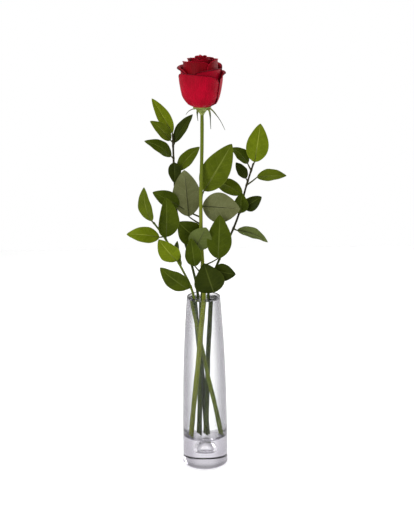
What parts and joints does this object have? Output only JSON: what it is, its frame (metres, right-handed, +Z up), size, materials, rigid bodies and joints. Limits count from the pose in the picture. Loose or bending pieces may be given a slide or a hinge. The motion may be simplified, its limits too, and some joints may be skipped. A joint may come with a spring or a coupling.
{
  "type": "glass bud vase",
  "caption": "Tall narrow tapering bud vase of clear glass with a thick bubbled base, holding a rose and leafy sprigs that lift out.",
  "frame": {"origin": "centre of the vase's underside, on the surface it stands on", "axes": "+Z up along the vase's axis, -Y towards the front of the arrangement, +X to its right"},
  "size_m": [0.177, 0.0645, 0.466],
  "materials": {
    "clear_glass": "polished",
    "rose_petal": "satin",
    "rose_stem": "satin",
    "calyx": "matte",
    "sprig_stem": "satin",
    "leaf": "satin"
  },
  "bodies": {
    "vase": {"vase": "clear_glass"},
    "rose": {"petal_1": "rose_petal", "petal_10": "rose_petal", "petal_11": "rose_petal", "petal_12": "rose_petal", "petal_13": "rose_petal", "petal_14": "rose_petal", "petal_15": "rose_petal", "petal_2": "rose_petal", "petal_3": "rose_petal", "petal_4": "rose_petal", "petal_5": "rose_petal", "petal_6": "rose_petal", "petal_7": "rose_petal", "petal_8": "rose_petal", "petal_9": "rose_petal", "rose_calyx": "calyx", "rose_heart": "rose_petal", "rose_stem": "rose_stem"},
    "center_sprig": {"center_leaf_1": "leaf", "center_leaf_10": "leaf", "center_leaf_2": "leaf", "center_leaf_3": "leaf", "center_leaf_4": "leaf", "center_leaf_5": "leaf", "center_leaf_6": "leaf", "center_leaf_7": "leaf", "center_leaf_8": "leaf", "center_leaf_9": "leaf", "center_stem": "sprig_stem"},
    "left_tall_sprig": {"left_tall_leaf_1": "leaf", "left_tall_leaf_2": "leaf", "left_tall_leaf_3": "leaf", "left_tall_leaf_4": "leaf", "left_tall_leaf_5": "leaf", "left_tall_leaf_6": "leaf", "left_tall_stem": "sprig_stem"},
    "left_low_sprig": {"left_low_leaf_1": "leaf", "left_low_leaf_2": "leaf", "left_low_leaf_3": "leaf", "left_low_leaf_4": "leaf", "left_low_leaf_5": "leaf", "left_low_leaf_6": "leaf", "left_low_stem": "sprig_stem"},
    "right_sprig": {"right_leaf_1": "leaf", "right_leaf_2": "leaf", "right_leaf_3": "leaf", "right_leaf_4": "leaf", "right_leaf_5": "leaf", "right_leaf_6": "leaf", "right_leaf_7": "leaf", "right_leaf_8": "leaf", "right_leaf_9": "leaf", "right_stem": "sprig_stem"}
  },
  "joints": [
    {"name": "center_lift", "type": "slide", "parent": "vase", "child": "center_sprig", "axis": [0.0176, 0.0135, 0.9998], "range_m": [0, 0.175]},
    {"name": "rose_lift", "type": "slide", "parent": "center_sprig", "child": "rose", "axis": [0.0836, 0.0129, 0.9964], "range_m": [0, 0.175]},
    {"name": "left_tall_lift", "type": "slide", "parent": "vase", "child": "left_tall_sprig", "axis": [-0.0469, 0.0059, 0.9989], "range_m": [0, 0.175]},
    {"name": "left_low_lift", "type": "slide", "parent": "vase", "child": "left_low_sprig", "axis": [-0.1451, 0, 0.9894], "range_m": [0, 0.175]},
    {"name": "right_lift", "type": "slide", "parent": "vase", "child": "right_sprig", "axis": [0.0264, 0.0352, 0.999], "range_m": [0, 0.175]}
  ]
}
